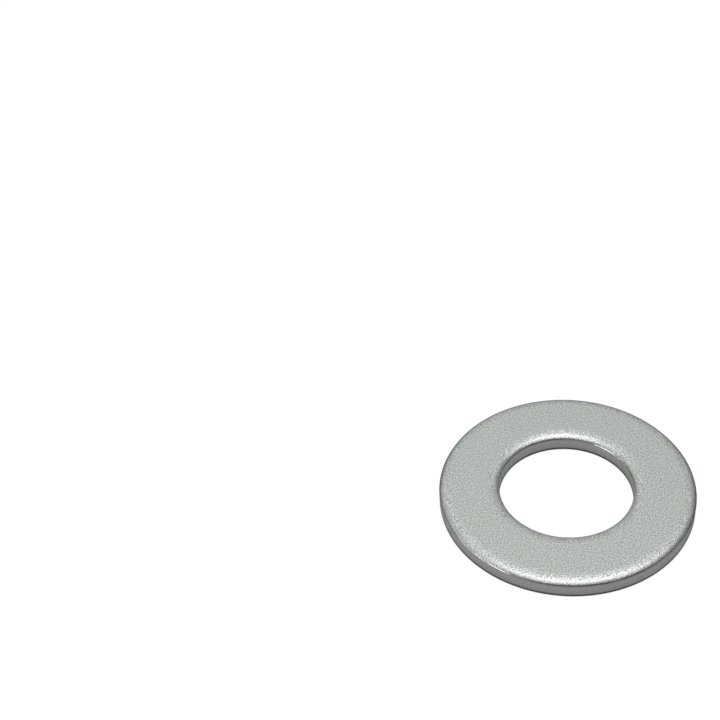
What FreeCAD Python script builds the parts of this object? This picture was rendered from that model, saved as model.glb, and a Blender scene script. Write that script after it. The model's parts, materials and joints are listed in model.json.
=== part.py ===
# Flat washer for a 10 mm bolt: one round blank stamped from steel strip, with a plain round hole.
# The punch pulls the upper edges down into a soft shoulder that ends at a crisp line on the wall.
# The lower edges are only deburred, so they carry a small even radius.
# Frame: millimetres, +Z up along the hole. The origin is the hole's centre on the lower seating face.

import FreeCAD
import Part
import math
import os

# Driving dimensions, in millimetres and degrees.
OUTER_DIAMETER = 20.0
HOLE_DIAMETER = 10.5
THICKNESS = 1.5
SHOULDER_WIDTH = 1.0  # how far the stamped shoulder reaches in from each wall
SHOULDER_DROP = 0.45  # how far it falls from the upper face before the wall starts
SHOULDER_TURN = 14.0  # slope where the shoulder's gentle arc hands over to its tight one
SHOULDER_END = 68.0  # slope where the shoulder meets the wall, which leaves the crisp line
DEBURR_RADIUS = 0.1  # round on the lower edges

OUTER_RADIUS = OUTER_DIAMETER / 2
HOLE_RADIUS = HOLE_DIAMETER / 2
OUTWARD = 1  # the side of a wall that faces away from the hole's axis
INWARD = -1  # the side of a wall that faces the hole's axis
FULL_TURN = 360.0


def section_point(radius, height):
    """A point of the washer's section, at that radius from the hole's axis."""
    return FreeCAD.Vector(radius, 0, height)


def shoulder_radii():
    """Radii of the shoulder's gentle and tight arcs.

    Together the two arcs run in by SHOULDER_WIDTH and down by SHOULDER_DROP, which gives two
    linear equations in the two radii.
    """
    turn = math.radians(SHOULDER_TURN)
    end = math.radians(SHOULDER_END)
    gentle_run = math.sin(turn)
    tight_run = math.sin(end) - math.sin(turn)
    gentle_fall = 1 - math.cos(turn)
    tight_fall = math.cos(turn) - math.cos(end)
    determinant = gentle_run * tight_fall - tight_run * gentle_fall
    gentle = (SHOULDER_WIDTH * tight_fall - SHOULDER_DROP * tight_run) / determinant
    tight = (SHOULDER_DROP * gentle_run - SHOULDER_WIDTH * gentle_fall) / determinant
    return gentle, tight


def arc_edge(centre, radius, start_slope, end_slope, side):
    """An arc on the upper edge, between two slopes in degrees from level.

    side is OUTWARD where the surface falls away from the hole's axis, INWARD where it falls to it.
    """
    points = []
    for slope in (start_slope, (start_slope + end_slope) / 2, end_slope):
        angle = math.radians(slope)
        points.append(
            section_point(
                centre.x + side * radius * math.sin(angle),
                centre.z + radius * math.cos(angle),
            )
        )
    return Part.Arc(*points).toShape()


def shoulder_edges(wall_radius, side):
    """The two arcs of a stamped shoulder, from the upper face to the wall at wall_radius."""
    gentle, tight = shoulder_radii()
    angle = math.radians(SHOULDER_TURN)
    start = wall_radius - side * SHOULDER_WIDTH
    gentle_centre = section_point(start, THICKNESS - gentle)
    tight_centre = section_point(
        start + side * (gentle - tight) * math.sin(angle),
        THICKNESS - gentle + (gentle - tight) * math.cos(angle),
    )
    return [
        arc_edge(gentle_centre, gentle, 0.0, SHOULDER_TURN, side),
        arc_edge(tight_centre, tight, SHOULDER_TURN, SHOULDER_END, side),
    ]


def deburred_edge(wall_radius, side):
    """The quarter round between the wall at wall_radius and the lower face."""
    centre = section_point(wall_radius - side * DEBURR_RADIUS, DEBURR_RADIUS)
    diagonal = DEBURR_RADIUS * math.sqrt(0.5)
    return Part.Arc(
        section_point(wall_radius, DEBURR_RADIUS),
        section_point(centre.x + side * diagonal, centre.z - diagonal),
        section_point(centre.x, 0),
    ).toShape()


def straight_edge(start, end):
    """A straight stretch of the section between two (radius, height) pairs."""
    return Part.LineSegment(section_point(*start), section_point(*end)).toShape()


def washer_section():
    """The closed face that turns about the hole's axis: faces, shoulders, walls and lower edges."""
    wall_top = THICKNESS - SHOULDER_DROP
    upper_inner = HOLE_RADIUS + SHOULDER_WIDTH
    upper_outer = OUTER_RADIUS - SHOULDER_WIDTH
    lower_inner = HOLE_RADIUS + DEBURR_RADIUS
    lower_outer = OUTER_RADIUS - DEBURR_RADIUS
    upper_face = straight_edge((upper_inner, THICKNESS), (upper_outer, THICKNESS))
    lower_face = straight_edge((lower_inner, 0), (lower_outer, 0))
    outer_wall = straight_edge((OUTER_RADIUS, wall_top), (OUTER_RADIUS, DEBURR_RADIUS))
    hole_wall = straight_edge((HOLE_RADIUS, wall_top), (HOLE_RADIUS, DEBURR_RADIUS))
    edges = [upper_face, lower_face, outer_wall, hole_wall]
    edges += shoulder_edges(OUTER_RADIUS, OUTWARD)
    edges += shoulder_edges(HOLE_RADIUS, INWARD)
    edges.append(deburred_edge(OUTER_RADIUS, OUTWARD))
    edges.append(deburred_edge(HOLE_RADIUS, INWARD))
    wire = Part.Wire(Part.__sortEdges__(edges))
    return Part.Face(wire)


def make_washer():
    """The washer as one solid of revolution about the hole's axis."""
    origin = FreeCAD.Vector(0, 0, 0)
    up = FreeCAD.Vector(0, 0, 1)
    return washer_section().revolve(origin, up, FULL_TURN)


def write_part(name, solid):
    """Writes one sub-part's STEP file after checking that it is one sound solid."""
    if solid.ShapeType != "Solid" or not solid.isValid() or solid.Volume <= 0:
        raise ValueError(name + " is not a sound solid")
    solid.exportStep(os.path.join("parts", name + ".step"))
    print(name, "volume", round(solid.Volume, 2), "mm3")


os.makedirs("parts", exist_ok=True)
write_part("washer", make_washer())
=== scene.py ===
"""Flat washer: one ring of zinc-plated steel, stamped from strip, lying on a pale studio floor.

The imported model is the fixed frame, in metres, with +Z up along the hole. This script builds the visible
ring over it and the studio round it. It is laid out as an add-on and is run as a script.
"""

import json
import math

import bpy
import numpy as np
from mathutils import Matrix, Vector


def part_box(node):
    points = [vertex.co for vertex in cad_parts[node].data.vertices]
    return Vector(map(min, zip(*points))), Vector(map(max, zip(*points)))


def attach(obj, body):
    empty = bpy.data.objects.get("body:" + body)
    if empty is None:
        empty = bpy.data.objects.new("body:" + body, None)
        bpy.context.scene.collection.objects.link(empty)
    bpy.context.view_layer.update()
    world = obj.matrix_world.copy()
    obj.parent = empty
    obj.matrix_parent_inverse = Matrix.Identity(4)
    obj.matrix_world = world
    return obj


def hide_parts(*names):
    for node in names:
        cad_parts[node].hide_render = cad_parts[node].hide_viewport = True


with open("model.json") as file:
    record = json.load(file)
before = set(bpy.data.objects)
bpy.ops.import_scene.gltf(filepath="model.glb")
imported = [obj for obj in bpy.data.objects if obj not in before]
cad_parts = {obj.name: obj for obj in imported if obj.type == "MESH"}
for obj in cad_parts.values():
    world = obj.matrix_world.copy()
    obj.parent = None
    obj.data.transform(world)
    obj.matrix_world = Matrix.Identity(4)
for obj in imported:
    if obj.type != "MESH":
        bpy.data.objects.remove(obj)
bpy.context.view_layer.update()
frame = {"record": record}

bl_info = {
    "name": "Flat Washer",
    "version": (1, 0, 0),
    "blender": (4, 5, 0),
    "location": "View3D > Sidebar > Washer",
    "description": "Builds a stamped, zinc-plated flat washer and the studio it is shown in",
    "category": "Add Mesh",
}

MM = 0.001

# The frame's own sizes.
CAD_LOW, CAD_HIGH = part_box("washer")
MOUNTS = {mount["name"]: mount for mount in frame["record"]["mounts"]}
OUTER_RADIUS = CAD_HIGH.x
HOLE_RADIUS = MOUNTS["bolt_hole"]["dims"]["r_mm"] * MM
THICKNESS = CAD_HIGH.z - CAD_LOW.z

# How finely the ring's surface is divided.
COLUMNS = 792  # round the hole
FLAT_ROWS = 22  # across the upper face
GENTLE_ROWS = 8
TIGHT_ROWS = 14
LIP_ROWS = 4
WALL_ROWS = 16
DEBURR_ROWS = 4
LOWER_ROWS = 8  # across the lower face


def linear_colour(hex_code):
    """The linear RGBA of an sRGB colour written as six hex digits."""
    channels = np.array([int(hex_code[i : i + 2], 16) for i in (0, 2, 4)]) / 255
    low = channels / 12.92
    high = ((channels + 0.055) / 1.055) ** 2.4
    return (*np.where(channels <= 0.04045, low, high).tolist(), 1.0)


def grey(tone):
    """The linear RGBA of a grey that sends back that share of the light."""
    return (tone, tone, tone, 1.0)


# ---------------------------------------------------------------- settings a user would change


class WasherSizes(bpy.types.PropertyGroup):
    """The ring's section, how unevenly the press left it, and where its painted shade lies."""

    outer_radius: bpy.props.FloatProperty(
        name="Outer radius",
        description="From the hole's axis to the outer wall",
        default=OUTER_RADIUS,
        precision=5,
        unit="LENGTH",
    )
    hole_radius: bpy.props.FloatProperty(
        name="Hole radius",
        description="From the hole's axis to the hole's wall",
        default=HOLE_RADIUS,
        precision=5,
        unit="LENGTH",
    )
    thickness: bpy.props.FloatProperty(
        name="Thickness",
        description="From the lower seating face to the upper one",
        default=THICKNESS,
        precision=5,
        unit="LENGTH",
    )
    shoulder_width: bpy.props.FloatProperty(
        name="Shoulder width",
        description="How far the stamped shoulder reaches in from a wall",
        default=1.0 * MM,
        precision=5,
        unit="LENGTH",
    )
    shoulder_drop: bpy.props.FloatProperty(
        name="Shoulder drop",
        description="How far the shoulder falls before the wall starts",
        default=0.45 * MM,
        precision=5,
        unit="LENGTH",
    )
    shoulder_turn: bpy.props.FloatProperty(
        name="Shoulder turn",
        description="Slope where the shoulder's gentle arc hands over to its tight one",
        default=math.radians(14),
        subtype="ANGLE",
    )
    shoulder_end: bpy.props.FloatProperty(
        name="Shoulder end",
        description="Slope where the tight arc hands over to the small lip at the wall",
        default=math.radians(64),
        subtype="ANGLE",
    )
    lip_radius: bpy.props.FloatProperty(
        name="Lip radius",
        description="Round of the crisp line between the shoulder and the wall",
        default=0.06 * MM,
        precision=5,
        unit="LENGTH",
    )
    deburr_radius: bpy.props.FloatProperty(
        name="Deburr radius",
        description="Round of the lower edges",
        default=0.1 * MM,
        precision=5,
        unit="LENGTH",
    )
    line_width: bpy.props.FloatProperty(
        name="Line width",
        description="The step in which the bright and dull bands along the crisp line are measured",
        default=0.05 * MM,
        precision=5,
        unit="LENGTH",
    )
    # How far up the wall the painted shade at the foot, where the ring meets the floor, reaches.
    foot_width: bpy.props.FloatProperty(
        name="Foot width",
        description="How far the dull tone of the lower edge reaches up the wall",
        default=0.2 * MM,
        precision=5,
        unit="LENGTH",
    )
    line_wander: bpy.props.FloatProperty(
        name="Line wander",
        description="How far the crisp line strays up and down round the ring",
        default=0.012 * MM,
        precision=6,
        unit="LENGTH",
    )
    stipple_depth: bpy.props.FloatProperty(
        name="Stipple depth",
        description="Depth of the soft unevenness of the faces",
        default=0.0012 * MM,
        precision=6,
        unit="LENGTH",
    )
    drag_depth: bpy.props.FloatProperty(
        name="Drag depth",
        description="Depth of the upright lines that the punch and die drag down the walls",
        default=0.002 * MM,
        precision=6,
        unit="LENGTH",
    )


class WasherFinish(bpy.types.PropertyGroup):
    """The look of the zinc plating, and the colour of its painted shade."""

    zinc_colour: bpy.props.FloatVectorProperty(
        name="Zinc colour",
        description="Reflection colour of the bright zinc",
        subtype="COLOR",
        size=4,
        min=0.0,
        max=1.0,
        default=linear_colour("cfd4cf"),
    )
    # The colour of the painted shade along the crisp line, in the crease above it, at the foot and down the
    # walls.
    painted_shade_colour: bpy.props.FloatVectorProperty(
        name="Edge colour",
        description="Reflection colour of the dull bands along the crisp line and the lower edge",
        subtype="COLOR",
        size=4,
        min=0.0,
        max=1.0,
        default=linear_colour("2c2e2c"),
    )
    face_roughness: bpy.props.FloatProperty(
        name="Face roughness",
        description="Roughness of the tumbled faces and shoulders",
        default=0.285,
        min=0.0,
        max=1.0,
        subtype="FACTOR",
    )
    wall_roughness: bpy.props.FloatProperty(
        name="Wall roughness",
        description="Roughness of the sheared walls",
        default=0.42,
        min=0.0,
        max=1.0,
        subtype="FACTOR",
    )
    burnished_roughness: bpy.props.FloatProperty(
        name="Burnished roughness",
        description="Roughness of the brighter band just above the crisp line",
        default=0.12,
        min=0.0,
        max=1.0,
        subtype="FACTOR",
    )
    grain_size: bpy.props.FloatProperty(
        name="Grain size",
        description="Width of one fleck of the plating's grain",
        default=0.1 * MM,
        precision=6,
        unit="LENGTH",
    )
    grain_depth: bpy.props.FloatProperty(
        name="Grain depth",
        description="Height of the plating's grain",
        default=0.034 * MM,
        precision=6,
        unit="LENGTH",
    )
    fleck_size: bpy.props.FloatProperty(
        name="Fleck size",
        description="Width of one lighter or darker fleck on the faces",
        default=0.1 * MM,
        precision=6,
        unit="LENGTH",
    )
    fleck_contrast: bpy.props.FloatProperty(
        name="Fleck contrast",
        description="How much lighter and darker than the plating its flecks are",
        default=0.5,
        min=0.0,
        max=0.5,
        subtype="FACTOR",
    )
    line_size: bpy.props.FloatProperty(
        name="Line size",
        description="Width of one upright line on the sheared walls",
        default=0.16 * MM,
        precision=6,
        unit="LENGTH",
    )
    line_contrast: bpy.props.FloatProperty(
        name="Line contrast",
        description="How much lighter and darker than the plating the upright lines are",
        default=0.04,
        min=0.0,
        max=0.5,
        subtype="FACTOR",
    )


class WasherStudio(bpy.types.PropertyGroup):
    """Floor, light tent and camera."""

    paper_tone: bpy.props.FloatProperty(
        name="Paper tone",
        description="How much light the paper sends back up to the washer where it is pale",
        default=0.44,
    )
    shade_tone: bpy.props.FloatProperty(
        name="Shade tone",
        description="How much light the paper sends back up to the washer where it is painted darker",
        default=0.16,
    )
    floor_colour: bpy.props.FloatVectorProperty(
        name="Floor colour",
        description="Colour of the pale studio floor",
        subtype="COLOR",
        size=4,
        min=0.0,
        max=1.0,
        default=linear_colour("ffffff"),
    )
    contact_width: bpy.props.FloatProperty(
        name="Contact width",
        description="How far the dark line where the washer meets the floor reaches out",
        default=0.06 * MM,
        precision=5,
        unit="LENGTH",
    )
    contact_light: bpy.props.FloatProperty(
        name="Contact light",
        description="How bright the floor still looks right next to the washer",
        default=0.2,
        min=0.0,
    )
    tent_level: bpy.props.FloatProperty(
        name="Tent level",
        description="Brightness of the light tent's sides at the horizon",
        default=0.33,
        min=0.0,
    )
    tent_back: bpy.props.FloatProperty(
        name="Tent back",
        description="How much brighter than that the tent's far side is, and how much dimmer its front",
        default=0.165,
        min=0.0,
    )
    tent_left: bpy.props.FloatProperty(
        name="Tent left",
        description="How much brighter the tent's left side is than that, and how much dimmer its right",
        default=0.1,
        min=0.0,
    )
    tent_up: bpy.props.FloatProperty(
        name="Tent up",
        description="How much brighter the tent's top is than its sides",
        default=0.6,
        min=0.0,
    )
    top_light: bpy.props.FloatProperty(
        name="Top light",
        description="Brightness of the softbox high above the front",
        default=1.06,
        min=0.0,
    )
    side_light: bpy.props.FloatProperty(
        name="Side light",
        description="Brightness of the low softbox at the left",
        default=3.3,
        min=0.0,
    )


# ---------------------------------------------------------------- the ring's surface


def arc(centre, radius, start, end, count, side):
    """Points and outward normals along an arc of the section, for a surface that faces side.

    At slope s from level, the point stands radius times (side times sin s, cos s) from the centre,
    and that same direction is the normal. The last slope is left to the next stretch.
    """
    slopes = np.linspace(start, end, count, endpoint=False)
    normal = np.stack([side * np.sin(slopes), np.cos(slopes)], axis=1)
    return np.asarray(centre) + radius * normal, normal


def straight(start, end, count, normal):
    """Points and outward normals along a straight stretch, without its end."""
    share = np.linspace(0.0, 1.0, count, endpoint=False)[:, None]
    points = np.asarray(start) * (1 - share) + np.asarray(end) * share
    return points, np.tile(normal, (count, 1)).astype(float)


def shoulder_radii(sizes):
    """Radii of the shoulder's gentle and tight arcs.

    With the lip, the arcs run in by the shoulder's width and down by its drop, which gives two
    linear equations in the two radii.
    """
    turn, end = sizes.shoulder_turn, sizes.shoulder_end
    runs = [math.sin(turn), math.sin(end) - math.sin(turn)]
    falls = [1 - math.cos(turn), math.cos(turn) - math.cos(end)]
    lip_run = sizes.lip_radius * (1 - math.sin(end))
    lip_fall = sizes.lip_radius * math.cos(end)
    wanted = [sizes.shoulder_width - lip_run, sizes.shoulder_drop - lip_fall]
    return np.linalg.solve([runs, falls], wanted)


# How much of the surface still counts as tumbled face rather than sheared wall, from 0 to 1.
TIGHT_END_FACE = 0.8  # at the end of the shoulder's tight arc
LIP_START_FACE = 0.6
LIP_END_FACE = 0.1


def half_section(sizes, wall_radius, side):
    """The section from the upper face over one shoulder, down the wall and round to the lower face.

    The shoulder is three arcs that meet without a kink: gentle, tight, and the small lip. side is 1
    at the outer wall and -1 at the hole. Returns points, normals, and how much of each point is
    tumbled face rather than sheared wall, from 0 to 1.
    """
    gentle, tight = shoulder_radii(sizes)
    turn, end, lip = sizes.shoulder_turn, sizes.shoulder_end, sizes.lip_radius
    quarter = math.pi / 2
    top = np.array([wall_radius - side * sizes.shoulder_width, sizes.thickness - gentle])
    middle = top + (gentle - tight) * np.array([side * math.sin(turn), math.cos(turn)])
    edge = middle + (tight - lip) * np.array([side * math.sin(end), math.cos(end)])
    round_radius = sizes.deburr_radius
    foot = np.array([wall_radius - side * round_radius, round_radius])
    wall = straight((wall_radius, edge[1]), (wall_radius, round_radius), WALL_ROWS, (side, 0))
    stretches = [
        (arc(top, gentle, 0.0, turn, GENTLE_ROWS, side), 1.0, 1.0),
        (arc(middle, tight, turn, end, TIGHT_ROWS, side), 1.0, TIGHT_END_FACE),
        (arc(edge, lip, end, quarter, LIP_ROWS, side), LIP_START_FACE, LIP_END_FACE),
        (wall, 0.0, 0.0),
        (arc(foot, round_radius, quarter, 2 * quarter, DEBURR_ROWS, side), 0.0, 1.0),
    ]
    points = np.concatenate([stretch[0] for stretch, _, _ in stretches])
    normals = np.concatenate([stretch[1] for stretch, _, _ in stretches])
    face = np.concatenate(
        [np.linspace(start, stop, len(stretch[0])) for stretch, start, stop in stretches]
    )
    return [points, normals, face]


def whole_section(sizes):
    """The closed section: upper face outwards, outer shoulder and wall, lower face inwards, hole."""
    outer = half_section(sizes, sizes.outer_radius, 1)
    inner = half_section(sizes, sizes.hole_radius, -1)
    upper_inner = sizes.hole_radius + sizes.shoulder_width
    upper_outer = sizes.outer_radius - sizes.shoulder_width
    lower_inner = sizes.hole_radius + sizes.deburr_radius
    lower_outer = sizes.outer_radius - sizes.deburr_radius
    upper = straight((upper_inner, sizes.thickness), (upper_outer, sizes.thickness), FLAT_ROWS, (0, 1))
    lower = straight((lower_outer, 0), (lower_inner, 0), LOWER_ROWS, (0, -1))
    upper = [*upper, np.ones(FLAT_ROWS)]
    lower = [*lower, np.ones(LOWER_ROWS)]
    # The hole's half runs downwards too, so it is turned round and moved on by one row to close the loop.
    inner = [np.concatenate([closing, part[:0:-1]]) for closing, part in zip(hole_foot(sizes), inner)]
    return [np.concatenate(parts) for parts in zip(upper, outer, lower, inner)]


def hole_foot(sizes):
    """The one row where the lower face meets the round of the hole's lower edge."""
    return (
        np.array([[sizes.hole_radius + sizes.deburr_radius, 0.0]]),
        np.array([[0.0, -1.0]]),
        np.array([1.0]),
    )


# The bands along the crisp line: painted shade in the crease and on the line, and the burnished band. Their
# places and widths are in line widths, upwards from the line.
CREASE_PLACE, CREASE_WIDTH, CREASE_PAINTED_SHADE = 2.1, 0.8, 0.6
CRISP_PLACE, CRISP_WIDTH, CRISP_PAINTED_SHADE = -0.4, 0.6, 0.45
BURNISH_PLACE, BURNISH_WIDTH = 1.0, 1.5
# Painted shade that grows down the sheared wall towards the floor.
WALL_PAINTED_SHADE = 0.12  # of the sheared wall at its foot
ROUND_TOP = 2  # the power that gives a bell a round top
FLAT_TOP = 4  # the power that gives it a flat one


def bell(value, place, width, power):
    """A bell of height 1 round a place: e to the minus ((value - place) / width) to the power."""
    return np.exp(-(((value - place) / width) ** power))


def painted_edge_shade_and_burnish(sizes, height, face):
    """How much painted shade and how much burnish each height of the section has, each from 0 to 1.

    The painted shade is the sum of a bell in the crease above the burnish, a fainter one on the crisp
    line, a flat-topped one at the foot, where the ring meets the floor, and a slow rise down the
    sheared wall towards the floor. The burnish is a flat-topped bell just above the crisp line, where
    the edge is brighter.
    """
    line = sizes.thickness - sizes.shoulder_drop
    above = (height - line) / sizes.line_width
    # Painted shade: in the crease, on the crisp line, at the foot where the ring meets the floor, and down
    # the wall.
    crease = CREASE_PAINTED_SHADE * bell(above, CREASE_PLACE, CREASE_WIDTH, ROUND_TOP)
    crisp = CRISP_PAINTED_SHADE * bell(above, CRISP_PLACE, CRISP_WIDTH, ROUND_TOP)
    foot = bell(height, 0.0, sizes.foot_width, FLAT_TOP)
    painted_wall_shade = WALL_PAINTED_SHADE * np.clip(1 - height / line, 0.0, 1.0) * (1 - face)
    burnish = bell(above, BURNISH_PLACE, BURNISH_WIDTH, FLAT_TOP)
    return np.clip(crease + crisp + foot + painted_wall_shade, 0.0, 1.0), burnish


# How the surface varies round the ring.
SHORTEST_WAVE, LONGEST_WAVE = 0.67, 1.33  # as shares of the wanted wavelength
STIPPLE_LENGTH = 0.36 * MM
DRAG_LENGTH = 0.4 * MM
RUBBED_LENGTH = 2.2 * MM
RUBBED_LEVEL, RUBBED_SPREAD = 0.8, 0.35  # of the burnish, before it is held between 0 and 1
WANDER_LENGTH, RIPPLE_LENGTH = 1.4, 0.3  # of the crisp line's slow and quick straying, in ring radii
RIPPLE_SHARE = 0.35  # how strong the quick straying is beside the slow
WANDER_WAVES = 9
SPREAD_LIMIT = 3  # how many spreads from its mean a random height may stand


def uneven(points, wavelength, seed, waves=48):
    """A smooth random height at each point, with a spread of 1.

    It is the sum of plane cosine waves with random directions and phases and lengths within a
    third of the wavelength, so it has no seam anywhere on the ring. A sum of n such waves has a
    spread of the root of n / 2, so it is divided by that.
    """
    random = np.random.default_rng(seed)
    directions = random.normal(size=(waves, points.shape[-1]))
    directions /= np.linalg.norm(directions, axis=1, keepdims=True)
    lengths = wavelength * random.uniform(SHORTEST_WAVE, LONGEST_WAVE, waves)
    turns = points @ (directions * (2 * math.pi / lengths)[:, None]).T
    heights = np.cos(turns + random.uniform(0, 2 * math.pi, waves)).sum(axis=-1)
    return heights * math.sqrt(2 / waves)


def pressing(heights):
    """Random heights held within the spread limit, then halved and raised so that none is below 0."""
    return SPREAD_LIMIT / 2 + 0.5 * np.clip(heights, -SPREAD_LIMIT, SPREAD_LIMIT)


def ring_surface(sizes):
    """The ring's grid of vertices, rows along the section and columns round the hole.

    A vertex at angle a is the section's point (r, z) carried to (r cos a, r sin a, z). It is then
    pressed inwards along its normal: by the stipple where the face is tumbled, and by the drag
    lines, which depend only on the angle, where the wall is sheared. The crisp line and what lies
    next to it stray up and down by a slow function of the angle.
    """
    points, normals, face = whole_section(sizes)
    angles = np.linspace(0.0, 2 * math.pi, COLUMNS, endpoint=False)
    compass = np.stack([np.cos(angles), np.sin(angles)], axis=1)
    radius, height = points[:, :1], points[:, 1:]
    grid_shape = (len(points), COLUMNS, 1)
    place = np.concatenate(
        [radius[:, None] * compass[None], np.broadcast_to(height[:, None], grid_shape)], axis=2
    )
    normal = np.concatenate(
        [normals[:, None, :1] * compass[None], np.broadcast_to(normals[:, None, 1:], grid_shape)],
        axis=2,
    )
    stipple = uneven(place, STIPPLE_LENGTH, seed=11)
    pressed = sizes.stipple_depth * face[:, None] * pressing(stipple)
    on_wall = compass * sizes.outer_radius
    drag = uneven(on_wall, DRAG_LENGTH, seed=23)
    pressed += sizes.drag_depth * (1 - face)[:, None] * pressing(drag)
    place = place - normal * pressed[..., None]
    fall = np.clip((sizes.thickness - height) / sizes.shoulder_drop, 0.0, 1.0)
    rise = np.clip((height - sizes.deburr_radius) / (sizes.thickness - sizes.shoulder_drop), 0.0, 1.0)
    strays = np.minimum(fall, rise)
    slow = uneven(compass, WANDER_LENGTH, seed=5, waves=WANDER_WAVES)
    quick = uneven(compass, RIPPLE_LENGTH, seed=6, waves=WANDER_WAVES)
    wander = slow + RIPPLE_SHARE * quick
    place[..., 2] -= sizes.line_wander * strays * wander
    rubbed = np.clip(RUBBED_LEVEL + RUBBED_SPREAD * uneven(on_wall, RUBBED_LENGTH, seed=31), 0.0, 1.0)
    # Painted shade and burnish for each height of the section.
    painted_shade, burnish = painted_edge_shade_and_burnish(sizes, points[:, 1], face)
    return place, face, painted_shade, burnish[:, None] * rubbed


def ring_mesh(sizes):
    """The ring as a closed mesh of quads that wraps both ways, with its finish and painted shade written on
    its points.
    """
    place, face, painted_shade, burnish = ring_surface(sizes)
    finishes_and_shade = {"tumbled": face[:, None] * (1 - burnish), "painted_shade": painted_shade[:, None], "burnished": burnish}
    rows, columns = place.shape[:2]
    numbers = np.arange(rows * columns).reshape(rows, columns)
    next_row = np.roll(numbers, -1, axis=0)
    next_column = np.roll(numbers, -1, axis=1)
    corner = np.roll(next_row, -1, axis=1)
    quads = np.stack([numbers, next_row, corner, next_column], axis=-1).reshape(-1, 4)
    mesh = bpy.data.meshes.new("washer_ring")
    mesh.from_pydata(place.reshape(-1, 3), [], quads)
    mesh.shade_smooth()
    for name, amount in finishes_and_shade.items():
        attribute = mesh.attributes.new(name, "FLOAT", "POINT")
        everywhere = np.broadcast_to(amount, (rows, columns)).ravel()
        attribute.data.foreach_set("value", everywhere.astype(np.float32))
    mesh.validate()
    mesh.update()
    return mesh


# ---------------------------------------------------------------- finishes


def socket(sockets, name):
    """The socket with that number, or the one in use with that name."""
    if isinstance(name, int):
        return sockets[name]
    return next(each for each in sockets if each.name == name and each.enabled)


def add_node(tree, kind, settings=None, links=None, **options):
    """Adds a node, sets its options and input values, and links its inputs to other nodes' outputs."""
    node = tree.nodes.new(kind)
    for name, value in options.items():
        setattr(node, name, value)
    for name, value in (settings or {}).items():
        socket(node.inputs, name).default_value = value
    for name, source in (links or {}).items():
        tree.links.new(source, socket(node.inputs, name))
    return node


def new_material(name):
    """An empty node material and its tree, with the output node ready."""
    material = bpy.data.materials.new(name)
    material.use_nodes = True
    tree = material.node_tree
    tree.nodes.clear()
    return material, tree, tree.nodes.new("ShaderNodeOutputMaterial")


def map_range(tree, value, old, new):
    """Carries a value from an old range to a new one, held at the new range's ends."""
    settings = {"From Min": old[0], "From Max": old[1], "To Min": new[0], "To Max": new[1]}
    return add_node(tree, "ShaderNodeMapRange", settings, {"Value": value}).outputs["Result"]


TONE_RANGE = (0.3, 0.7)  # the noise values that give the darkest and the lightest tone
LINE_SQUEEZE = 0.04  # how much the wall's pattern is slowed upwards, which draws it out into lines


def zinc_plated_steel(finish):
    """Bright zinc electroplated on stamped steel strip, which is taken to have been tumbled first.

    Tumbling leaves the faces finely pitted, so each fleck tilts its own way and the face sparkles.
    The sheared walls have no pits, are duller and carry faint upright lines. The edges are darkened with
    painted shade along the crisp line, in the crease above it, at the foot and down the walls.
    """
    material, tree, output = new_material("zinc_plated_steel")
    place = add_node(tree, "ShaderNodeTexCoord").outputs["Object"]
    tumbled = add_node(tree, "ShaderNodeAttribute", attribute_name="tumbled").outputs["Fac"]
    painted_shade = add_node(tree, "ShaderNodeAttribute", attribute_name="painted_shade").outputs["Fac"]
    burnished = add_node(tree, "ShaderNodeAttribute", attribute_name="burnished").outputs["Fac"]
    # Real pits are probably finer. The grain is drawn at a tenth of a millimetre so that it shows.
    grain = add_node(
        tree,
        "ShaderNodeTexNoise",
        {"Scale": 1 / finish.grain_size, "Detail": 3.0, "Roughness": 0.5},
        {"Vector": place},
    ).outputs["Fac"]
    flecks = add_node(
        tree,
        "ShaderNodeTexNoise",
        {"Scale": 1 / finish.fleck_size, "Detail": 1.0, "Roughness": 0.7},
        {"Vector": place},
    ).outputs["Fac"]
    upright = add_node(
        tree, "ShaderNodeVectorMath", {1: (1.0, 1.0, LINE_SQUEEZE)}, {0: place}, operation="MULTIPLY"
    )
    lines = add_node(
        tree,
        "ShaderNodeTexNoise",
        {"Scale": 1 / finish.line_size, "Detail": 2.0, "Roughness": 0.6},
        {"Vector": upright.outputs[0]},
    ).outputs["Fac"]
    depth = add_node(
        tree, "ShaderNodeMath", {1: finish.grain_depth}, {0: tumbled}, operation="MULTIPLY"
    ).outputs[0]
    bump = add_node(
        tree, "ShaderNodeBump", {"Strength": 1.0}, {"Distance": depth, "Height": grain}
    ).outputs["Normal"]
    face_tone = map_range(tree, flecks, TONE_RANGE, (1 - finish.fleck_contrast, 1 + finish.fleck_contrast))
    wall_tone = map_range(tree, lines, TONE_RANGE, (1 - finish.line_contrast, 1 + finish.line_contrast))
    tone = add_node(
        tree, "ShaderNodeMix", None, {"Factor": tumbled, "A": wall_tone, "B": face_tone}
    )
    tone = socket(tone.outputs, "Result")
    plating = add_node(
        tree, "ShaderNodeVectorMath", {0: finish.zinc_colour[:3]}, {"Scale": tone}, operation="SCALE"
    ).outputs[0]
    # Painted shade: the plating's colour is blended towards the shade colour along the crisp line, in the
    # crease above it, at the foot and down the walls.
    colour = add_node(
        tree,
        "ShaderNodeMix",
        {"B": finish.painted_shade_colour},
        {"Factor": painted_shade, "A": plating},
        data_type="RGBA",
    )
    colour = socket(colour.outputs, "Result")
    matt = map_range(tree, tumbled, (0.0, 1.0), (finish.wall_roughness, finish.face_roughness))
    roughness = add_node(
        tree, "ShaderNodeMix", {"B": finish.burnished_roughness}, {"Factor": burnished, "A": matt}
    )
    roughness = socket(roughness.outputs, "Result")
    shader = add_node(
        tree,
        "ShaderNodeBsdfPrincipled",
        {"Metallic": 1.0},
        {"Base Color": colour, "Normal": bump, "Roughness": roughness},
    )
    tree.links.new(shader.outputs["BSDF"], output.inputs["Surface"])
    return material


# ---------------------------------------------------------------- studio

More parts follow.
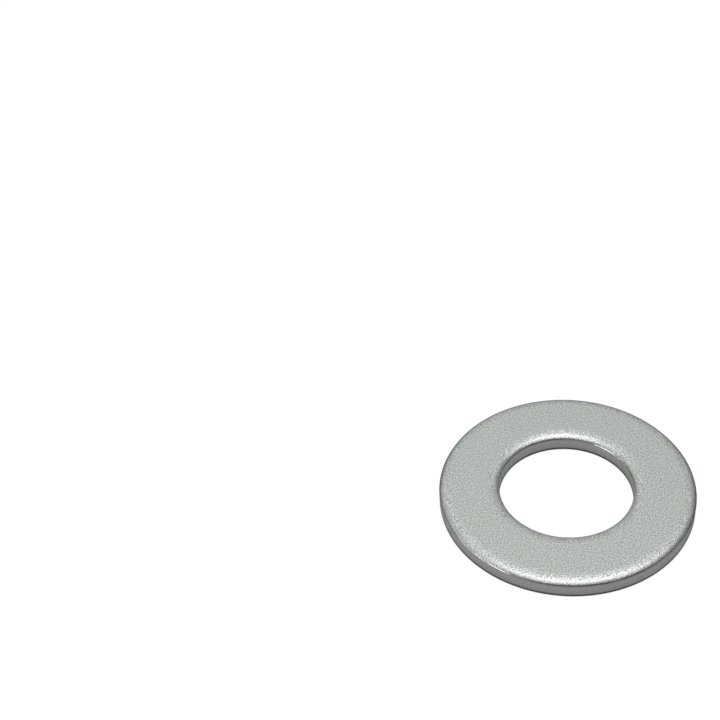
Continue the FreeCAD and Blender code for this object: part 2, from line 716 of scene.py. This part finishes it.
SOFTBOX_COLOUR = linear_colour("fff9fe")[:3]  # the lamps' faint pink evens out the zinc's faint green
FLOOR_REACH = 0.6  # metres from the floor's middle to its sides
# Outside the ring the paper is painted darker in this direction, and in the hole the other way.
SHADE_DIRECTION = (0.3, 0.95, 0.0)
SHADE_FROM, SHADE_TO = -4 * MM, 2 * MM  # where along that direction the painted tone changes
SCATTER_TONE = 0.1  # share of the real light on the floor that the camera sees
OPEN_GLOW = 0.93  # the open floor's own glow to the camera, which with that share looks white
HIDDEN_SKY, OPEN_SKY = 0.5, 0.95  # openness of the floor where the contact line is darkest and gone
# Where the softboxes stand, seen from the washer, and their sizes, in metres.
SOFTBOX_DISTANCE = 0.5
TOP_SOFTBOX = {"azimuth": math.radians(-80), "elevation": math.radians(69), "width": 0.74, "height": 0.45}
SIDE_SOFTBOX = {"azimuth": math.radians(195), "elevation": math.radians(7), "width": 0.42, "height": 0.07}
CAMERA_LENS = 65.12  # millimetres, on a sensor 36 mm wide
SENSOR_WIDTH = 36.0
VIEW_ELEVATION = math.radians(40.92)
VIEW_ROLL = math.radians(-5.85)
VIEW_DISTANCE = 103.29 * MM  # from the camera to the washer, along the view axis
WASHER_RIGHT = 16.33 * MM  # how far the washer lies to the right of the view axis
WASHER_BELOW = 10.81 * MM  # and how far below it
NEAREST_SEEN = 1 * MM
FARTHEST_SEEN = 10.0  # metres


def studio_camera():
    """A camera that looks down at the washer, which lies low and right in the picture.

    Its forward axis falls from level by the view's elevation, and its right and down axes are
    turned about it by the roll.
    """
    forward = Vector((0, math.cos(VIEW_ELEVATION), -math.sin(VIEW_ELEVATION)))
    level = Vector((1, 0, 0))
    under = forward.cross(level)
    right = level * math.cos(VIEW_ROLL) - under * math.sin(VIEW_ROLL)
    down = level * math.sin(VIEW_ROLL) + under * math.cos(VIEW_ROLL)
    lens = bpy.data.cameras.new("studio_camera")
    lens.sensor_width = SENSOR_WIDTH
    lens.lens = CAMERA_LENS
    lens.clip_start = NEAREST_SEEN
    lens.clip_end = FARTHEST_SEEN
    camera = bpy.data.objects.new("studio_camera", lens)
    bpy.context.scene.collection.objects.link(camera)
    turn = Matrix((right, -down, -forward)).transposed().to_4x4()
    eye = -(right * WASHER_RIGHT + down * WASHER_BELOW + forward * VIEW_DISTANCE)
    camera.matrix_world = Matrix.Translation(eye) @ turn
    bpy.context.scene.camera = camera


def light_tent(studio):
    """The world as a white tent: bright overhead, dim at the horizon, and plain white to the camera.

    In a direction (x, y, z) it glows with its level, less its left share times x, plus its back
    share times y, plus its top share times z squared. The square makes it bright below as well,
    where the floor hides it.
    """
    world = bpy.data.worlds.new("light_tent")
    bpy.context.scene.world = world
    world.use_nodes = True
    tree = world.node_tree
    tree.nodes.clear()
    output = add_node(tree, "ShaderNodeOutputWorld")
    direction = add_node(tree, "ShaderNodeTexCoord").outputs["Generated"]
    height = add_node(tree, "ShaderNodeSeparateXYZ", None, {0: direction}).outputs["Z"]
    overhead = add_node(
        tree, "ShaderNodeMath", None, {0: height, 1: height}, operation="MULTIPLY"
    ).outputs[0]
    across = add_node(
        tree,
        "ShaderNodeVectorMath",
        {1: (-studio.tent_left, studio.tent_back, 0.0)},
        {0: direction},
        operation="DOT_PRODUCT",
    ).outputs["Value"]
    level = add_node(
        tree, "ShaderNodeMath", {1: studio.tent_level}, {0: across}, operation="ADD"
    ).outputs[0]
    glow = add_node(
        tree,
        "ShaderNodeMath",
        {1: studio.tent_up},
        {0: overhead, 2: level},
        operation="MULTIPLY_ADD",
    ).outputs[0]
    tent = add_node(tree, "ShaderNodeBackground", {"Color": grey(1.0)}, {"Strength": glow})
    backdrop = add_node(tree, "ShaderNodeBackground", {"Color": grey(1.0), "Strength": 1.0})
    seen = add_node(tree, "ShaderNodeLightPath").outputs["Is Camera Ray"]
    mix = add_node(
        tree, "ShaderNodeMixShader", None, {0: seen, 1: tent.outputs[0], 2: backdrop.outputs[0]}
    )
    tree.links.new(mix.outputs[0], output.inputs["Surface"])


def floor_paper(studio):
    """Matt white paper, which differs between the camera and the ring's reflections.

    To the camera it glows an even white, with a small share of the real light on it, and it goes
    dark right next to the ring, where little sky is open above it. The ring reflects a darker
    paper instead. That one is painted darker still beyond the ring's far side and in the near part
    of its hole. The painted tone isn't a cast shadow: it is a ramp along the shade direction
    outside the ring, the same ramp turned round in the hole, and a blend of both under the ring.
    """
    material, tree, output = new_material("matt_paper")
    place = add_node(tree, "ShaderNodeTexCoord").outputs["Object"]
    reach = add_node(tree, "ShaderNodeVectorMath", None, {0: place}, operation="LENGTH").outputs["Value"]
    outside = map_range(tree, reach, (HOLE_RADIUS, OUTER_RADIUS), (0.0, 1.0))
    behind = add_node(
        tree, "ShaderNodeVectorMath", {1: SHADE_DIRECTION}, {0: place}, operation="DOT_PRODUCT"
    ).outputs["Value"]
    shade_outside = map_range(tree, behind, (SHADE_FROM, SHADE_TO), (0.0, 1.0))
    shade_in_hole = map_range(tree, behind, (SHADE_FROM, SHADE_TO), (1.0, 0.0))
    shade = add_node(
        tree, "ShaderNodeMix", None, {"Factor": outside, "A": shade_in_hole, "B": shade_outside}
    )
    shade = socket(shade.outputs, "Result")
    paper = add_node(
        tree,
        "ShaderNodeMix",
        {"A": grey(studio.paper_tone), "B": grey(studio.shade_tone)},
        {"Factor": shade},
        data_type="RGBA",
    )
    dim = add_node(tree, "ShaderNodeBsdfDiffuse", None, {"Color": socket(paper.outputs, "Result")})
    scattered = add_node(tree, "ShaderNodeBsdfDiffuse", {"Color": grey(SCATTER_TONE)})
    openness = add_node(
        tree, "ShaderNodeAmbientOcclusion", {"Distance": studio.contact_width}
    ).outputs["AO"]
    light = map_range(tree, openness, (HIDDEN_SKY, OPEN_SKY), (studio.contact_light, OPEN_GLOW))
    even = add_node(tree, "ShaderNodeEmission", {"Color": studio.floor_colour}, {"Strength": light})
    white = add_node(tree, "ShaderNodeAddShader", None, {0: scattered.outputs[0], 1: even.outputs[0]})
    seen = add_node(tree, "ShaderNodeLightPath").outputs["Is Camera Ray"]
    mix = add_node(tree, "ShaderNodeMixShader", None, {0: seen, 1: dim.outputs[0], 2: white.outputs[0]})
    tree.links.new(mix.outputs[0], output.inputs["Surface"])
    return material


def studio_floor(studio):
    """A square sheet of pale paper at the level that the washer stands on."""
    corners = np.array([(-1, -1, 0), (1, -1, 0), (1, 1, 0), (-1, 1, 0)], float)
    mesh = bpy.data.meshes.new("studio_floor")
    mesh.from_pydata(corners * FLOOR_REACH + np.array([0, 0, CAD_LOW.z]), [], [(0, 1, 2, 3)])
    mesh.update()
    mesh.materials.append(floor_paper(studio))
    floor = bpy.data.objects.new("studio_floor", mesh)
    bpy.context.scene.collection.objects.link(floor)


def softbox(name, brightness, azimuth, elevation, width, height):
    """An area light that faces the washer from a compass direction.

    Its power is its brightness times pi times its area, so brightness is what a mirror would show.
    """
    light = bpy.data.lights.new(name, "AREA")
    light.shape = "RECTANGLE"
    light.color = SOFTBOX_COLOUR
    light.size = width
    light.size_y = height
    light.energy = brightness * math.pi * width * height
    lamp = bpy.data.objects.new(name, light)
    bpy.context.scene.collection.objects.link(lamp)
    outwards = Vector(
        (
            math.cos(azimuth) * math.cos(elevation),
            math.sin(azimuth) * math.cos(elevation),
            math.sin(elevation),
        )
    )
    turn = outwards.to_track_quat("Z", "Y").to_matrix().to_4x4()
    lamp.matrix_world = Matrix.Translation(outwards * SOFTBOX_DISTANCE) @ turn
    lamp.visible_camera = False


# ---------------------------------------------------------------- operators and panel


class WASHER_OT_make_stage(bpy.types.Operator):
    """Make the camera, the light tent, the floor and the two softboxes"""

    bl_idname = "washer.make_stage"
    bl_label = "Make Stage"

    def execute(self, context):
        studio = context.scene.washer_studio
        context.scene.view_settings.view_transform = "Standard"
        studio_camera()
        light_tent(studio)
        studio_floor(studio)
        softbox("top_softbox", studio.top_light, **TOP_SOFTBOX)
        softbox("side_softbox", studio.side_light, **SIDE_SOFTBOX)
        return {"FINISHED"}


class WASHER_OT_make_ring(bpy.types.Operator):
    """Make the washer's stamped, zinc-plated ring"""

    bl_idname = "washer.make_ring"
    bl_label = "Make Ring"

    def execute(self, context):
        ring = bpy.data.objects.new("washer_ring", ring_mesh(context.scene.washer_sizes))
        context.scene.collection.objects.link(ring)
        ring.data.materials.append(zinc_plated_steel(context.scene.washer_finish))
        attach(ring, "root")
        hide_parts("washer")
        return {"FINISHED"}


class WASHER_PT_sidebar(bpy.types.Panel):
    """Settings and buttons for the washer"""

    bl_idname = "WASHER_PT_sidebar"
    bl_label = "Flat Washer"
    bl_space_type = "VIEW_3D"
    bl_region_type = "UI"
    bl_category = "Washer"

    def draw(self, context):
        for group in (context.scene.washer_sizes, context.scene.washer_finish, context.scene.washer_studio):
            box = self.layout.box()
            for name in group.__annotations__:
                box.prop(group, name)
        self.layout.operator(WASHER_OT_make_stage.bl_idname)
        self.layout.operator(WASHER_OT_make_ring.bl_idname)


CLASSES = (
    WasherSizes,
    WasherFinish,
    WasherStudio,
    WASHER_OT_make_stage,
    WASHER_OT_make_ring,
    WASHER_PT_sidebar,
)


def register():
    for each in CLASSES:
        bpy.utils.register_class(each)
    bpy.types.Scene.washer_sizes = bpy.props.PointerProperty(type=WasherSizes)
    bpy.types.Scene.washer_finish = bpy.props.PointerProperty(type=WasherFinish)
    bpy.types.Scene.washer_studio = bpy.props.PointerProperty(type=WasherStudio)


def unregister():
    del bpy.types.Scene.washer_studio
    del bpy.types.Scene.washer_finish
    del bpy.types.Scene.washer_sizes
    for each in reversed(CLASSES):
        bpy.utils.unregister_class(each)


def main():
    register()
    bpy.ops.washer.make_stage()
    bpy.ops.washer.make_ring()


if __name__ == "__main__":
    main()
